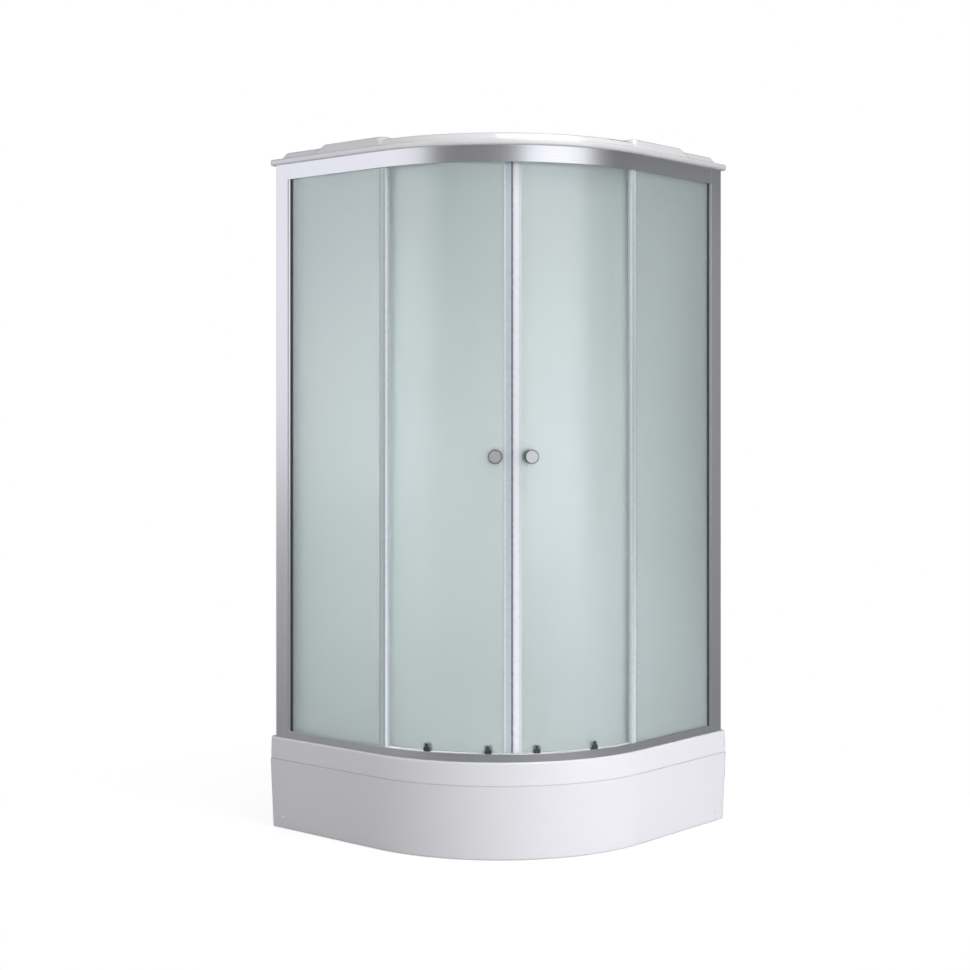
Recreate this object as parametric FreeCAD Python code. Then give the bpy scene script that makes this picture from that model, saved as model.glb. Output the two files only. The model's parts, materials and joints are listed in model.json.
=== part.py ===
import FreeCAD, Part
import math
import os
from FreeCAD import Vector

# Quadrant shower enclosure: a deep tray with a curved apron, a bent aluminium frame with two
# flat fixed panes and two curved sliding doors, two back wall panels and a moulded roof.
# Millimetres, +Z up. The origin is on the floor in the middle of the square footprint.
# The room's walls are the planes x = -side/2 and y = +side/2; the curved front faces +X, -Y.
# "inset" is a distance inwards from the widest front outline, and "gap" one from a wall.
# The left half is drawn, and the right half is its mirror image in the diagonal plane.

# ---- footprint and heights ----
side = 900.0
corner_radius = 500.0
tray_height = 252.5
frame_height = 1574.0
step_height = 191.5
floor_height = 100.0
floor_clearance = 2.0

# ---- tray and apron ----
tray_wall = 5.0
rim_inset = 4.0
rim_edge_radius = 6.0
lip_inset = 2.2
rim_width = 64.0
rim_wall_width = 36.0
basin_draft = 26.0
basin_corner = 70.0
basin_bottom_radius = 24.0
apron_wall = 4.0
apron_flange = 26.0
apron_middle_inset = 5.6
apron_bottom_inset = 11.0
apron_middle_share = 0.52
apron_screw_height = 31.0
apron_screw_from_wall = 39.0
lip_edge_radius = 1.0
recess_clearance = 0.5

# ---- screws, caps and the apron's brackets ----
screw_radius = 2.0
screw_head_radius = 4.0
screw_head = 1.6
screw_past_bracket = 4.0
cap_radius = 5.5
cap_height = 2.4
cap_edge_radius = 1.2
bracket_wall = 3.0
bracket_width = 30.0
bracket_foot = 22.0
bracket_shelf_extra = 18.0
bearing_gap = 0.1
head_seat_gap = 0.02

# ---- support frame and feet ----
tube_size = 25.0
tube_wall = 2.0
frame_from_wall = 70.0
frame_end_from_front = 40.0
brace_offset = 170.0
front_foot_from_centre = 205.0
foot_from_front = 60.0
stem_radius = 6.0
pad_radius = 27.0
pad_height = 9.0
pad_edge = 4.0
pad_top_radius = 12.0
nut_across_flats = 19.0
nut_height = 10.0

# ---- waste ----
drain_from_wall = 230.0
waste_radius = 44.5
waste_wall = 2.5
waste_flange_radius = 57.5
waste_flange = 2.0
waste_bottom = 22.0
gasket_thickness = 1.0
outlet_radius = 20.0
outlet_wall = 2.0
outlet_height = 44.0
outlet_length = 70.0
outlet_collar = 10.0
outlet_collar_radius = 23.0
cover_radius = 55.0
cover_thickness = 2.5
cover_rise = 3.0
cover_chamfer = 1.2
cover_leg_depth = 4.0
cover_leg_width = 12.0
cover_leg_from_waste = 2.0
skirt_clearance = 1.0
skirt_wall = 2.0
skirt_depth = 12.0
locknut_height = 12.0
lug_reach = 5.0
lug_width = 8.0
lug_root = 1.5
running_gap = 0.3

# ---- aluminium rails ----
frame_inset = 6.5
rail_depth = 45.0
face_wall = 2.2
web_wall = 1.5
bottom_face = 20.5
top_face = 43.0
rail_edge_radius = 1.2
ledge_drop = 23.0
ledge_wall = 2.0
track_rib = 1.4
track_rib_height = 3.5
rail_floor = 2.0
web_short = 7.0
back_short = 11.0
wheel_lane_front = 3.6
wheel_lane_back = 3.2
ledge_short = 3.7

# ---- glass ----
glass = 5.0
fixed_glass_inset = 11.5
glazing_gap = 2.5
door_glass_inset = 33.0
fixed_past_tangent = 28.0
door_bottom_gap = 19.5
door_top_drop = 28.5
pane_bed = 2.0
pane_top_gap = 10.0
seal_wall = 1.5
seal_grip = 12.0
seal_nose = 3.5
seal_fin = 2.0
seal_fin_short = 8.6
seal_end_gap = 0.5

# ---- wall profiles and back walls ----
panel_depth = 14.5
panel_wall = 5.0
profile_face = 47.5
profile_wall = 1.8
clamp_wall = 1.5
clamp_show = 8.0
clamp_slot = 30.0
gasket_show = 6.0
panel_front_gap = 25.0
post_leg = 20.0
post_wall = 2.0
post_core = 1.2
post_edge_radius = 0.8
post_inner_radius = 8.0
profile_back_radius = 1.5
profile_lip_radius = 0.6
clamp_from_back = 6.0
clamp_lip_radius = 0.5
slot_lip = 0.8
gasket_below_face = 1.0
gasket_above_face = 8.0
gasket_over_pane = 2.0

# ---- doors: angles are measured along the arc from its left end ----
seam_angle = 45.0
hanger_spacing = 27.9
hanger_from_seam = 7.75
knob_from_seam = 5.5
magnet_length = 14.0
door_start_angle = 0.6
trailing_fin_reach = 12.0
door_travel = 26.0
pole_shift_x = -11.0
pole_shift_y = 8.6
knob_height = 1031.0
knob_radius = 18.5
knob_depth = 27.0
knob_neck_radius = 12.0
knob_bolt_radius = 3.0
knob_base = 3.0
knob_neck_depth = 7.0
knob_neck_fillet = 2.5
knob_head_depth = 14.0
knob_back_fillet = 2.0
knob_face_fillet = 2.2
knob_bolt_share = 0.6
bolt_sleeve = 2.0
washer_radius = 13.0
washer = 1.0
seam_half_gap = 0.25
magnet_grip = 9.0
trailing_lip = 3.0
trailing_end_gap = 1.0

# ---- rollers ----
top_wheel_radius = 10.0
top_wheel_inset = 24.6
wheel_width = 5.0
top_axle_radius = 2.5
bottom_wheel_radius = 7.0
bottom_axle_radius = 2.0
bore_clearance = 0.08
hanger_length = 40.0
hanger_wall = 2.0
arm_width = 16.0
arm_wall = 3.0
guide_width = 16.0
guide_proud = 3.5
guide_back = 6.0
guide_post_width = 6.0
fork_gap = 0.4
fork_wall = 2.5
fork_above_rib = 0.6
guide_plate_rise = 8.0
guide_plate_radius = 2.5
guide_post_rise = 17.0
guide_post_radius = 2.0
guide_post_root = 3.0
guide_back_extra = 2.0
ledge_gap = 0.05
arm_gap = 0.5
arm_above_axle = 6.0
shoe_above_rail = 4.5
shoe_below_ledge = 0.8
axle_sleeve = 1.5
axle_head_extra = 2.0
axle_head = 1.5
hub_wall = 1.8
flank_depth = 0.4
tread_chamfer = 0.5
stop_length = 12.0
stop_height = 11.0
stop_depth = 12.0
stop_gap = 1.0

# ---- roof ----
roof_wall = 4.0
roof_lip = 17.0
roof_lip_radius = 6.0
roof_flange = 75.0
crown_inset = 14.0
crown_draft = 12.0
crown_height = 35.0
block_height = 43.0
block_from_wall = 134.0
block_past_tangent = 26.0
block_depth = 170.0
block_outer_slope = 46.0
block_inner_slope = 22.0
block_draft = 9.0
block_corner = 20.0
block_edge = 7.0
form_overlap = 2.0
crown_from_wall = 20.0
crown_corner = 12.0
crown_edge = 9.0
opening_from_wall = 20.0
opening_corner = 10.0
roof_bracket_half = 12.0
roof_bracket_wall = 2.0
roof_bracket_leg = 18.0
roof_bracket_gap = 0.2
roof_screw_from_rail = 10.0
roof_bracket_shifts = (-250.0, -70.0)

# ---- worked out ----
half = side / 2
arc_x = half - corner_radius
arc_y = corner_radius - half
arc_centre = Vector(arc_x, arc_y, 0)
up = Vector(0, 0, 1)
frame_top = tray_height + frame_height
rail_inner_inset = frame_inset + rail_depth
profile_end = panel_depth + profile_face
web_inset = fixed_glass_inset + glass + glazing_gap
ledge_top = frame_top - ledge_drop
door_bottom = tray_height + door_bottom_gap
door_top = frame_top - door_top_drop
door_inner_inset = door_glass_inset + glass
door_pole = Vector(arc_x + pole_shift_x, arc_y + pole_shift_y, 0)
front_hanger_angle = seam_angle - hanger_from_seam
rear_hanger_angle = seam_angle - hanger_spacing
knob_angle = seam_angle - knob_from_seam
rail_bottom_of_top = frame_top - top_face
rail_top_of_bottom = tray_height + bottom_face
tray_underside = floor_height - tray_wall
drain_from_centre = half - drain_from_wall
track_floor = tray_height + rail_floor
profile_front = frame_inset - half
profile_back = profile_front + rail_depth
profile_x0 = panel_depth - half
profile_x1 = profile_end - half
clamp_x1 = profile_x1 + clamp_show
slot_front = fixed_glass_inset - glazing_gap + slot_lip - half
slot_back = fixed_glass_inset + glass + glazing_gap - slot_lip - half
pane_low = track_floor + pane_bed
pane_high = frame_top - face_wall - pane_top_gap
top_axle_height = ledge_top + top_wheel_radius + ledge_gap
bottom_axle_height = track_floor + bottom_wheel_radius + running_gap
arm_inset = door_inner_inset + arm_gap
guide_front = door_glass_inset - guide_proud
guide_rear = door_inner_inset + guide_back
cutter_height = side * 3


# ---- drawing aids ----
def rounded_wire(corners):
    """Closed wire through (point, radius) corners, each rounded by its own radius."""
    legs = []
    for index, (point, radius) in enumerate(corners):
        back = (corners[index - 1][0] - point).normalize()
        ahead = (corners[(index + 1) % len(corners)][0] - point).normalize()
        if radius == 0:
            legs.append((point, None, point))
            continue
        half_turn = back.getAngle(ahead) / 2
        reach = radius / math.tan(half_turn)
        inward = (back + ahead).normalize()
        middle = point + inward * (radius / math.sin(half_turn) - radius)
        legs.append((point + back * reach, middle, point + ahead * reach))
    edges = []
    for index, (start, middle, end) in enumerate(legs):
        if middle is not None:
            edges.append(Part.Arc(start, middle, end).toShape())
        next_start = legs[(index + 1) % len(legs)][0]
        if (next_start - end).Length > 1e-6:
            edges.append(Part.LineSegment(end, next_start).toShape())
    return Part.Wire(edges)


def section(corners):
    """Face across the front at the arc's left end, from (inset, height, radius) corners."""
    points = [(Vector(arc_x, inset - half, z), radius) for inset, z, radius in corners]
    return Part.Face(rounded_wire(points))


def mirror_right(shape):
    """The same piece on the other side of the diagonal plane."""
    return shape.mirror(Vector(0, 0, 0), Vector(1, 1, 0))


def keep_left(shape):
    return shape


def front_sweep(face, gap):
    """Run a section along the whole front: straight leg, quarter arc, straight leg."""
    leg = face.extrude(Vector(-(half + arc_x - gap), 0, 0))
    bend = face.revolve(arc_centre, up, 90)
    return leg.fuse([bend, mirror_right(leg)]).removeSplitter()


def plan_wire(inset, gap, z, corner=0.0):
    """The footprint outline, drawn in from the front by inset and from the walls by gap."""
    low = inset - half
    high = half - inset
    return rounded_wire([
        (Vector(gap - half, low, z), corner),
        (Vector(high, low, z), corner_radius - inset),
        (Vector(high, half - gap, z), corner),
        (Vector(gap - half, half - gap, z), corner),
    ])


def plan_prism(inset, gap, low, high, corner=0.0):
    return Part.Face(plan_wire(inset, gap, low, corner)).extrude(Vector(0, 0, high - low))


def plan_loft(lower, upper):
    return Part.makeLoft([lower, upper], True, True)


def turned(shape, angle):
    """Carry a piece drawn at the arc's left end along the arc."""
    copy = shape.copy()
    copy.rotate(arc_centre, up, angle)
    return copy


def block(x0, x1, inset0, inset1, low, high):
    """Box at the arc's left end: x from its end point, inset across the front."""
    corner = Vector(arc_x + x0, inset0 - half, low)
    return Part.makeBox(x1 - x0, inset1 - inset0, high - low, corner)


def across(radius, inset0, inset1, z):
    """Cylinder that points across the front at the arc's left end."""
    return Part.makeCylinder(radius, inset1 - inset0, Vector(arc_x, inset0 - half, z), Vector(0, 1, 0))


def band(inset0, inset1, angle0, angle1, low, high):
    """Upright curved plate along the arc."""
    face = section([(inset0, low, 0), (inset1, low, 0), (inset1, high, 0), (inset0, high, 0)])
    return turned(face, angle0).revolve(arc_centre, up, angle1 - angle0)


def spun(profile, inset, z):
    """Turned piece on an axis across the front: profile is (radius, depth inwards, corner)."""
    base = inset - half
    corners = [(Vector(arc_x, base + depth, z + radius), corner) for radius, depth, corner in profile]
    return Part.Face(rounded_wire(corners)).revolve(Vector(arc_x, base, z), Vector(0, 1, 0), 360)


def upright(points, low, high):
    """Vertical extrusion from (x, y, radius) plan corners."""
    corners = [(Vector(x, y, low), radius) for x, y, radius in points]
    return Part.Face(rounded_wire(corners)).extrude(Vector(0, 0, high - low))


def arc_degrees(length, inset):
    return math.degrees(length / (corner_radius - inset))


def group(solids):
    return Part.makeCompound(solids)


def drain_centre(z):
    return Vector(-drain_from_centre, drain_from_centre, z)


# ---- tray ----
def tray_shell():
    rim = section([
        (rim_inset, tray_height, rim_edge_radius),
        (lip_inset, step_height, lip_edge_radius),
        (lip_inset + tray_wall, step_height, 0),
        (rim_inset + tray_wall, tray_height - tray_wall, 0),
        (rim_width, tray_height - tray_wall, 0),
        (rim_width, tray_height, 0),
    ])
    shell = front_sweep(rim, 0)
    plate_inset = rim_inset + rim_edge_radius + 1
    shell = shell.fuse(plan_prism(plate_inset, 0, tray_height - tray_wall, tray_height))
    outside = plan_loft(
        plan_wire(rim_width - tray_wall, rim_wall_width - tray_wall, tray_height - tray_wall,
                  basin_corner + tray_wall),
        plan_wire(rim_width + basin_draft - tray_wall, rim_wall_width + basin_draft - tray_wall,
                  tray_underside, basin_corner + tray_wall))
    inside = plan_loft(
        plan_wire(rim_width, rim_wall_width, tray_height, basin_corner),
        plan_wire(rim_width + basin_draft, rim_wall_width + basin_draft, floor_height,
                  basin_corner))
    outside = outside.makeFillet(basin_bottom_radius + tray_wall, level_edges(outside, tray_underside))
    inside = inside.makeFillet(basin_bottom_radius, level_edges(inside, floor_height))
    shell = shell.fuse(outside).cut(inside)
    recess_depth = waste_flange + gasket_thickness
    recess = Part.makeCylinder(waste_flange_radius + recess_clearance, recess_depth,
                               drain_centre(floor_height - recess_depth))
    hole = Part.makeCylinder(waste_radius + recess_clearance, tray_wall * 3,
                             drain_centre(floor_height - tray_wall * 2))
    return shell.cut([recess, hole]).removeSplitter()


def level_edges(shape, z):
    """The edges that lie flat at one height."""
    return [edge for edge in shape.Edges
            if abs(edge.BoundBox.ZMin - z) < 1e-4 and abs(edge.BoundBox.ZMax - z) < 1e-4]


def apron_face_inset(z):
    """Inset of the apron's outer face at a height: a shallow bow from step to floor."""
    share = (step_height - z) / (step_height - floor_clearance)
    bow = apron_middle_inset - apron_bottom_inset * apron_middle_share
    return apron_bottom_inset * share + 4 * bow * share * (1 - share)


def front_apron():
    middle = step_height - apron_middle_share * (step_height - floor_clearance)

    def bowed(offset, top):
        points = [Vector(arc_x, inset + offset - half, z) for inset, z in (
            (apron_face_inset(top), top),
            (apron_face_inset(middle), middle),
            (apron_bottom_inset, floor_clearance))]
        return points, Part.Arc(*points).toShape()

    outer_points, outer = bowed(0, step_height)
    inner_points, inner = bowed(apron_wall, step_height - apron_wall)
    flange_low = Vector(arc_x, apron_flange - half, step_height - apron_wall)
    flange_high = Vector(arc_x, apron_flange - half, step_height)
    wire = Part.Wire([
        outer,
        Part.LineSegment(outer_points[2], inner_points[2]).toShape(),
        inner,
        Part.LineSegment(inner_points[0], flange_low).toShape(),
        Part.LineSegment(flange_low, flange_high).toShape(),
        Part.LineSegment(flange_high, outer_points[0]).toShape(),
    ])
    skirt = front_sweep(Part.Face(wire), 0)
    return skirt.cut(apron_screw_places(apron_screw(stem_only=True)))


def apron_screw_places(shape):
    """Both places near the walls where a screw holds the apron, from one drawn at the left."""
    return [shape, mirror_right(shape)]


def apron_screw_axis():
    """Seat of a screw head: it bears on the part of the sloping face above the hole."""
    x = apron_screw_from_wall - half
    seat = apron_face_inset(apron_screw_height + cap_radius) - head_seat_gap
    return Vector(x, seat - half, apron_screw_height)


def apron_back():
    """Plane just behind the apron at the screws, where the brackets bear."""
    return apron_face_inset(bracket_foot) + apron_wall + bearing_gap


def apron_screw(stem_only=False):
    start = apron_screw_axis()
    length = apron_back() + bracket_wall + screw_past_bracket - apron_face_inset(apron_screw_height)
    stem = Part.makeCylinder(screw_radius, length, start, Vector(0, 1, 0))
    if stem_only:
        return stem
    head = Part.makeCylinder(screw_head_radius, screw_head, start - Vector(0, screw_head, 0),
                             Vector(0, 1, 0))
    return stem.fuse(head)


def apron_screw_cap():
    """Snap-on white cap over a screw head: a shallow dome, hollow for the head."""
    start = apron_screw_axis()
    outline = [
        (Vector(0, 0, 0), 0),
        (Vector(cap_radius, 0, 0), 0),
        (Vector(cap_radius, -cap_height, 0), cap_edge_radius),
        (Vector(0, -cap_height, 0), 0),
    ]
    dome = Part.Face(rounded_wire(outline)).revolve(Vector(0, 0, 0), Vector(0, 1, 0), 360)
    dome.translate(start)
    head = Part.makeCylinder(screw_head_radius, screw_head, start - Vector(0, screw_head, 0),
                             Vector(0, 1, 0))
    return dome.cut(head)


# ---- support frame ----
def tube(start, end, grow=0.0):
    """Square tube between two plan points, its top against the tray's underside."""
    run = end - start
    size = tube_size - 2 * tube_wall * grow
    low = tray_underside - tube_size + tube_wall * grow
    bar = Part.makeBox(run.Length, size, size, Vector(0, -size / 2, low))
    bar.rotate(Vector(0, 0, 0), up, math.degrees(math.atan2(run.y, run.x)))
    bar.translate(Vector(start.x, start.y, 0))
    return bar


def frame_runs():
    side_x = frame_from_wall - half
    side_end = frame_end_from_front - half
    left = (Vector(side_x, side_end, 0), Vector(side_x, -side_x - tube_size / 2, 0))
    back = (Vector(-side_end, -side_x, 0), Vector(side_x, -side_x, 0))
    brace = (Vector(side_x, side_x + brace_offset, 0), Vector(-side_x - brace_offset, -side_x, 0))
    middle = (brace[0] + brace[1]) / 2
    front = (middle, Vector(front_foot_from_centre, -front_foot_from_centre, 0))
    return [left, back, brace, front]


def foot_places():
    side_x = frame_from_wall - half
    front_y = foot_from_front - half
    middle = frame_runs()[3][0]
    front = Vector(front_foot_from_centre - tube_size, tube_size - front_foot_from_centre, 0)
    return [Vector(side_x, front_y, 0), Vector(-front_y, -side_x, 0),
            Vector(side_x, -side_x - tube_size, 0), middle, front]


def support_frame():
    runs = frame_runs()
    outer = tube(*runs[0]).fuse([tube(*run) for run in runs[1:]])
    inner = tube(*runs[0], 1).fuse([tube(*run, 1) for run in runs[1:]])
    frame = outer.cut(inner)
    plate_x = apron_screw_from_wall - bracket_width / 2 - half
    plate_y = apron_back() - half
    low = bracket_foot
    high = tray_underside
    plate = Part.makeBox(bracket_width, bracket_wall, high - low, Vector(plate_x, plate_y, low))
    reach = frame_end_from_front - apron_back()
    shelf = Part.makeBox(bracket_width + bracket_shelf_extra, reach, bracket_wall,
                         Vector(plate_x, plate_y, high - bracket_wall))
    bracket = plate.fuse(shelf)
    frame = frame.fuse([bracket, mirror_right(bracket)])
    holes = [Part.makeCylinder(stem_radius, tube_size * 2, place + Vector(0, 0, tray_underside
             - tube_size * 1.5)) for place in foot_places()]
    return frame.cut(holes + apron_screw_places(apron_screw(stem_only=True))).removeSplitter()


def foot_stems():
    top = tray_underside - tube_wall
    return group([Part.makeCylinder(stem_radius, top - pad_height, place + Vector(0, 0, pad_height))
                  for place in foot_places()])


def foot_pads():
    corners = [(Vector(0, 0, 0), 0), (Vector(pad_radius, 0, 0), 0), (Vector(pad_radius, 0, pad_edge), 0),
               (Vector(pad_top_radius, 0, pad_height), 0), (Vector(0, 0, pad_height), 0)]
    pad = Part.Face(rounded_wire(corners)).revolve(Vector(0, 0, 0), up, 360)
    return group([pad.translated(place) for place in foot_places()])


def hexagon_nut(place, low):
    corner = nut_across_flats / math.sqrt(3)
    corners = [Vector(corner * math.cos(math.radians(60 * turn)),
                      corner * math.sin(math.radians(60 * turn)), 0) + place + Vector(0, 0, low)
               for turn in range(6)]
    nut = Part.Face(Part.makePolygon(corners + corners[:1])).extrude(Vector(0, 0, nut_height))
    return nut.cut(Part.makeCylinder(stem_radius, nut_height, place + Vector(0, 0, low)))


def foot_lock_nuts():
    low = tray_underside - tube_size - nut_height
    return group([hexagon_nut(place, low) for place in foot_places()])


# ---- waste ----
def drain_body():
    flange_low = floor_height - waste_flange
    flange = Part.makeCylinder(waste_flange_radius, waste_flange, drain_centre(flange_low))
    cup = Part.makeCylinder(waste_radius, floor_height - waste_bottom, drain_centre(waste_bottom))
    pipe_start = drain_centre(outlet_height)
    reach = waste_radius + outlet_length
    pipe = Part.makeCylinder(outlet_radius, reach, pipe_start, Vector(-1, 0, 0))
    shoulder = Part.makeCylinder(outlet_collar_radius, waste_radius + outlet_collar, pipe_start,
                                 Vector(-1, 0, 0))
    body = flange.fuse([cup, pipe, shoulder])
    hollow = Part.makeCylinder(waste_radius - waste_wall, floor_height,
                               drain_centre(waste_bottom + waste_wall))
    bore = Part.makeCylinder(outlet_radius - outlet_wall, reach, pipe_start, Vector(-1, 0, 0))
    return body.cut([hollow, bore])


def ring(inner, outer, low, high):
    solid = Part.makeCylinder(outer, high - low, drain_centre(low))
    return solid.cut(Part.makeCylinder(inner, high - low, drain_centre(low)))


def drain_gasket():
    low = floor_height - waste_flange - gasket_thickness
    return ring(waste_radius, waste_flange_radius, low, low + gasket_thickness)


def drain_locknut():
    low = tray_underside - locknut_height
    nut = ring(waste_radius, waste_flange_radius, low, tray_underside)
    lugs = []
    for turn in range(6):
        lug = Part.makeBox(lug_reach, lug_width, locknut_height,
                           Vector(waste_flange_radius - lug_root, -lug_width / 2, low))
        lug.rotate(Vector(0, 0, 0), up, 60 * turn)
        lug.translate(drain_centre(0))
        lugs.append(lug)
    return nut.fuse(lugs).removeSplitter()


def drain_cover():
    seat = floor_height + running_gap
    low = seat + cover_rise
    high = low + cover_thickness
    corners = [(Vector(0, 0, low), 0), (Vector(cover_radius, 0, low), 0),
               (Vector(cover_radius, 0, high - cover_chamfer), 0),
               (Vector(cover_radius - cover_chamfer, 0, high), 0), (Vector(0, 0, high), 0)]
    disc = Part.Face(rounded_wire(corners)).revolve(Vector(0, 0, 0), up, 360)
    disc.translate(drain_centre(0))
    legs = []
    for turn in range(3):
        leg = Part.makeBox(cover_leg_depth, cover_leg_width, cover_rise,
                           Vector(waste_radius + cover_leg_from_waste, -cover_leg_width / 2, seat))
        leg.rotate(Vector(0, 0, 0), up, 120 * turn)
        leg.translate(drain_centre(0))
        legs.append(leg)
    skirt_outer = waste_radius - waste_wall - skirt_clearance
    skirt = ring(skirt_outer - skirt_wall, skirt_outer, floor_height - skirt_depth, low)
    return disc.fuse(legs + [skirt]).removeSplitter()


# ---- rails ----
def bottom_rail():
    floor_top = track_floor
    front_top = rail_top_of_bottom
    web_top = front_top - web_short
    back_top = front_top - back_short
    inner = rail_inner_inset
    wheel_low = door_glass_inset - wheel_lane_front
    wheel_high = door_inner_inset + wheel_lane_back
    rib_top = floor_top + track_rib_height
    face = section([
        (frame_inset, tray_height, 0),
        (frame_inset, front_top, rail_edge_radius),
        (frame_inset + face_wall, front_top, 0),
        (frame_inset + face_wall, floor_top, 0),
        (web_inset, floor_top, 0),
        (web_inset, web_top, 0),
        (web_inset + web_wall, web_top, 0),
        (web_inset + web_wall, floor_top, 0),
        (wheel_low - track_rib, floor_top, 0),
        (wheel_low - track_rib, rib_top, 0),
        (wheel_low, rib_top, 0),
        (wheel_low, floor_top, 0),
        (wheel_high, floor_top, 0),
        (wheel_high, rib_top, 0),
        (wheel_high + track_rib, rib_top, 0),
        (wheel_high + track_rib, floor_top, 0),
        (inner - web_wall, floor_top, 0),
        (inner - web_wall, back_top, 0),
        (inner, back_top, 0),
        (inner, tray_height, 0),
    ])
    return front_sweep(face, profile_end)


def top_rail():
    roof_plate = frame_top - face_wall
    low = rail_bottom_of_top
    web_low = low + web_short
    ledge_tip = door_inner_inset - ledge_short
    inner = rail_inner_inset
    face = section([
        (frame_inset, frame_top, 0),
        (frame_inset, low, rail_edge_radius),
        (frame_inset + face_wall, low, 0),
        (frame_inset + face_wall, roof_plate, 0),
        (web_inset, roof_plate, 0),
        (web_inset, web_low, 0),
        (web_inset + web_wall, web_low, 0),
        (web_inset + web_wall, ledge_top - ledge_wall, 0),
        (ledge_tip, ledge_top - ledge_wall, 0),
        (ledge_tip, ledge_top, 0),
        (web_inset + web_wall, ledge_top, 0),
        (web_inset + web_wall, roof_plate, 0),
        (inner - face_wall, roof_plate, 0),
        (inner - face_wall, ledge_top, 0),
        (inner, ledge_top, 0),
        (inner, frame_top, 0),
    ])
    return front_sweep(face, profile_end)


def wheel_at_stop():
    """Where the rear top wheel's centre is when the left door stands fully open."""
    angle = math.radians(rear_hanger_angle)
    reach = corner_radius - top_wheel_inset - wheel_width / 2
    start = arc_centre + Vector(reach * math.sin(angle), -reach * math.cos(angle), 0)
    spin = FreeCAD.Rotation(up, -door_travel)
    return spin.multVec(start - door_pole) + door_pole


def rail_stop():
    """Rubber block on the roller ledge, just behind the open door's rear wheel."""
    end = wheel_at_stop().x - top_wheel_radius - stop_gap - arc_x
    inset = web_inset + web_wall
    return block(end - stop_length, end, inset, inset + stop_depth, ledge_top, ledge_top + stop_height)


# ---- wall profiles, panes and seals ----
def wall_profile():
    t = profile_wall
    return upright([
        (profile_x0, profile_front, profile_back_radius),
        (profile_x1, profile_front, profile_lip_radius),
        (profile_x1, profile_front + t, 0),
        (profile_x0 + t, profile_front + t, 0),
        (profile_x0 + t, profile_back - t, 0),
        (profile_x1, profile_back - t, 0),
        (profile_x1, profile_back, profile_lip_radius),
        (profile_x0, profile_back, profile_back_radius),
    ], tray_height, frame_top)


def clamp_profile():
    front = profile_front + profile_wall
    back = profile_back - profile_wall
    slot_x = clamp_x1 - clamp_slot
    x0 = profile_x0 + profile_wall + clamp_from_back
    body = upright([
        (x0, front, 0),
        (clamp_x1, front, clamp_lip_radius),
        (clamp_x1, slot_front, 0),
        (slot_x, slot_front, 0),
        (slot_x, slot_back, 0),
        (clamp_x1, slot_back, 0),
        (clamp_x1, back, clamp_lip_radius),
        (x0, back, 0),
    ], rail_top_of_bottom, rail_bottom_of_top)
    t = clamp_wall
    hollow = upright([
        (x0 + t, slot_back + t, 0),
        (clamp_x1 - t, slot_back + t, 0),
        (clamp_x1 - t, back - t, 0),
        (x0 + t, back - t, 0),
    ], rail_top_of_bottom, rail_bottom_of_top)
    return body.cut(hollow)


def fixed_glass():
    x0 = clamp_x1 - clamp_slot + pane_bed - arc_x
    return block(x0, fixed_past_tangent, fixed_glass_inset, fixed_glass_inset + glass, pane_low,
                 pane_high)


def glazing_gaskets():
    """Rubber around three edges of a fixed pane: in both rails and in the clamp profile."""
    glass_back = fixed_glass_inset + glass
    channel0 = frame_inset + face_wall
    x_rail = profile_x1 - arc_x
    bottom = block(x_rail, 0, channel0, web_inset, track_floor, rail_top_of_bottom - gasket_below_face)
    bottom = bottom.cut(block(x_rail, 0, fixed_glass_inset, glass_back, pane_low, rail_top_of_bottom))
    top = block(x_rail, 0, channel0, web_inset, rail_bottom_of_top + gasket_above_face,
                pane_high + gasket_over_pane)
    top = top.cut(block(x_rail, 0, fixed_glass_inset, glass_back, rail_bottom_of_top, pane_high))
    slot_x = clamp_x1 - clamp_slot - arc_x
    show = clamp_x1 - arc_x + gasket_show
    front = block(slot_x, show, slot_front + half, fixed_glass_inset, rail_top_of_bottom,
                  rail_bottom_of_top)
    back = block(slot_x, show, glass_back, slot_back + half, rail_top_of_bottom, rail_bottom_of_top)
    return group([bottom, top, front, back])


def end_seal():
    """Clear seal on a fixed pane's free edge, with a fin that reaches towards the door."""
    end = fixed_past_tangent
    nose = end + seal_nose
    low = rail_top_of_bottom + seal_end_gap
    high = rail_bottom_of_top - seal_end_gap
    wrap = block(end - seal_grip, nose, fixed_glass_inset - seal_wall,
                 fixed_glass_inset + glass + seal_wall, low, high)
    fin = block(nose - seal_fin, nose, fixed_glass_inset, door_glass_inset - seal_fin_short, low, high)
    pane = block(0, end, fixed_glass_inset, fixed_glass_inset + glass, tray_height, frame_top)
    return wrap.fuse(fin).cut(pane).removeSplitter()


def back_panel():
    """Formed wall panel: a sheet with edges turned back to the wall."""
    y0 = panel_front_gap - half
    y1 = half - panel_depth - post_core - running_gap
    outer = Part.makeBox(panel_depth, y1 - y0, frame_height, Vector(-half, y0, tray_height))
    t = panel_wall
    pocket = Part.makeBox(panel_depth - t, y1 - y0 - 2 * t, frame_height - 2 * t,
                          Vector(-half, y0 + t, tray_height + t))
    return outer.cut(pocket)


def corner_post():
    """Cover strip in the room's corner, over both panels' edges."""
    face = panel_depth - half
    t = post_wall
    back = half - panel_depth
    core = back - post_core
    return upright([
        (-half, half, 0),
        (-half, core, 0),
        (face, core, 0),
        (face, back - post_leg, 0),
        (face + t, back - post_leg, post_edge_radius),
        (face + t, back - t, post_inner_radius),
        (face + post_leg, back - t, post_edge_radius),
        (face + post_leg, back, 0),
        (face + post_core, back, 0),
        (face + post_core, half, 0),
    ], tray_height, frame_top)


# ---- doors ----
def door_end_angle():
    return seam_angle - arc_degrees(magnet_length, door_glass_inset)


def door_glass():
    pane = band(door_glass_inset, door_inner_inset, door_start_angle, door_end_angle(), door_bottom,
                door_top)
    hole = across(knob_bolt_radius + bolt_sleeve, 0, side, knob_height)
    return pane.cut(turned(hole, knob_angle))


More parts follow.
